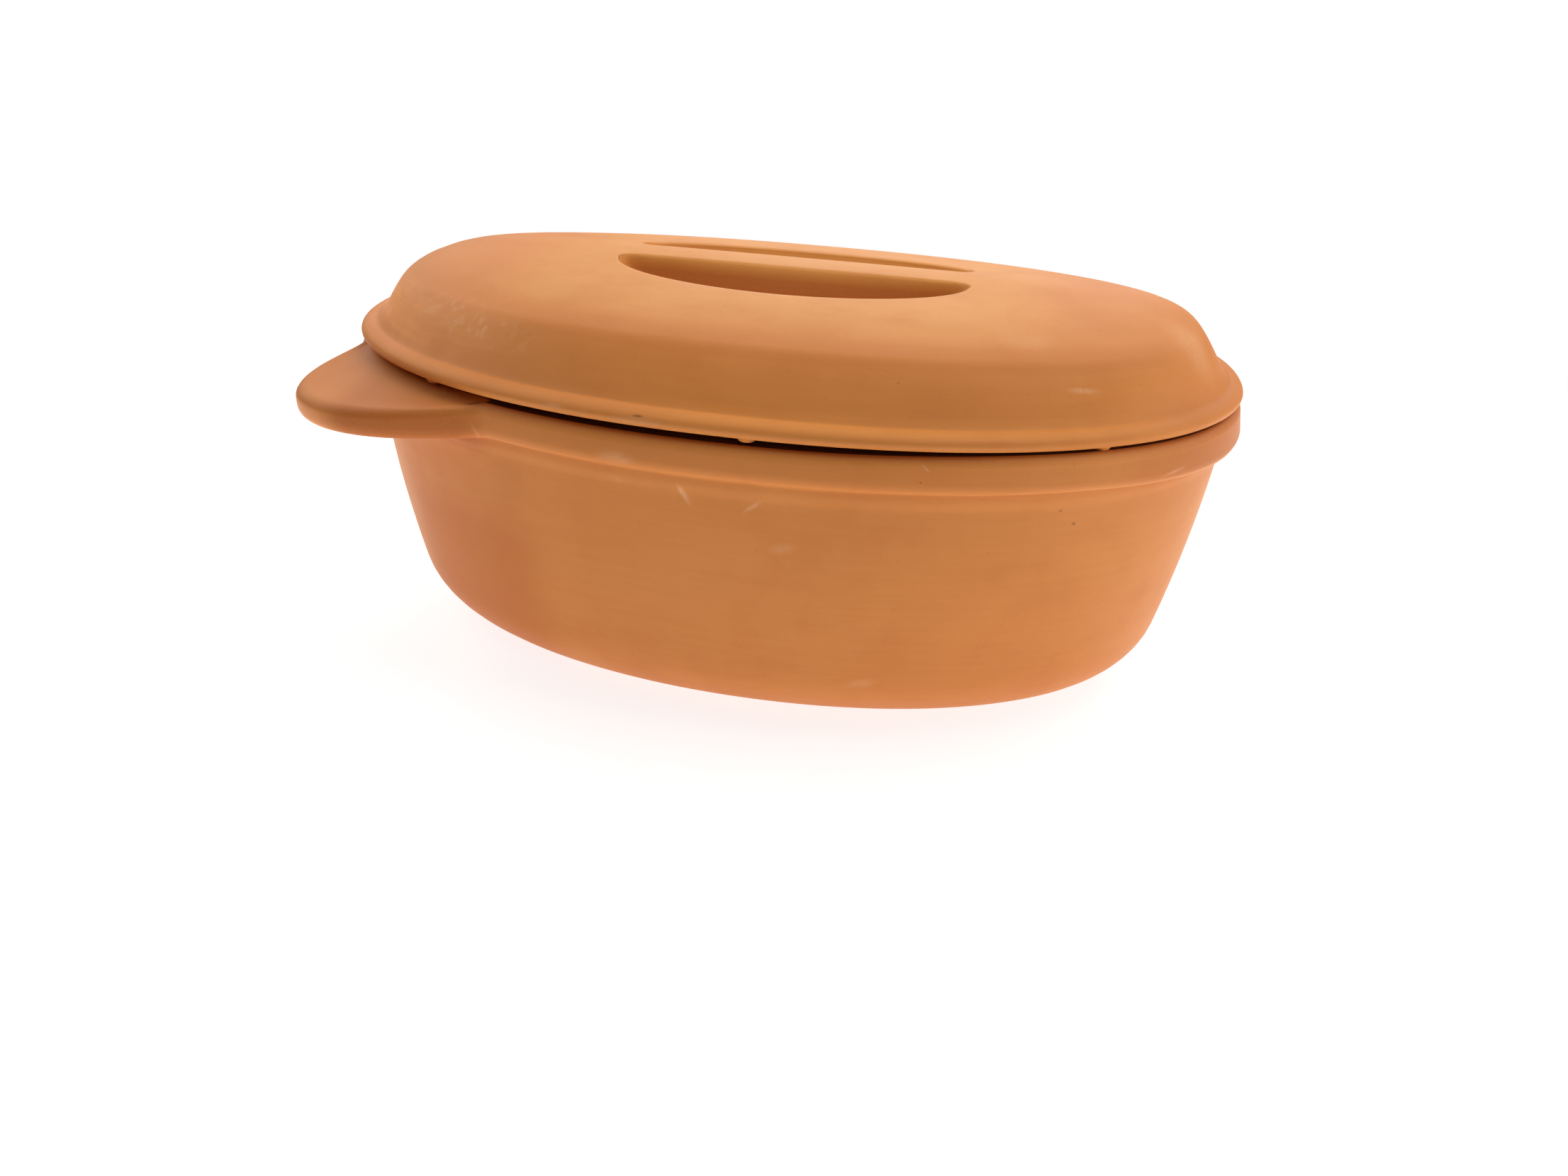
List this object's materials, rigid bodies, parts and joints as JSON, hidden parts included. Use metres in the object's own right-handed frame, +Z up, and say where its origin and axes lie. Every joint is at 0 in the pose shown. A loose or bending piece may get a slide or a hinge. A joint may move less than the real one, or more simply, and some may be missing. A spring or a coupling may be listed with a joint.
{
  "type": "clay roaster",
  "caption": "Oval unglazed clay roasting pot with deep tapered walls, ledge handles on the rim, and a domed lid gripped by a ridge between finger scoops.",
  "frame": {"origin": "centre of the pot's flat foot, on the surface it stands on", "axes": "+X along the long axis of the oval, -Y to the front, +Z up"},
  "size_m": [0.382, 0.2726, 0.1715],
  "materials": {
    "clay": "matte"
  },
  "bodies": {
    "root": {"pot": "clay", "lid": "clay"}
  },
  "joints": []
}
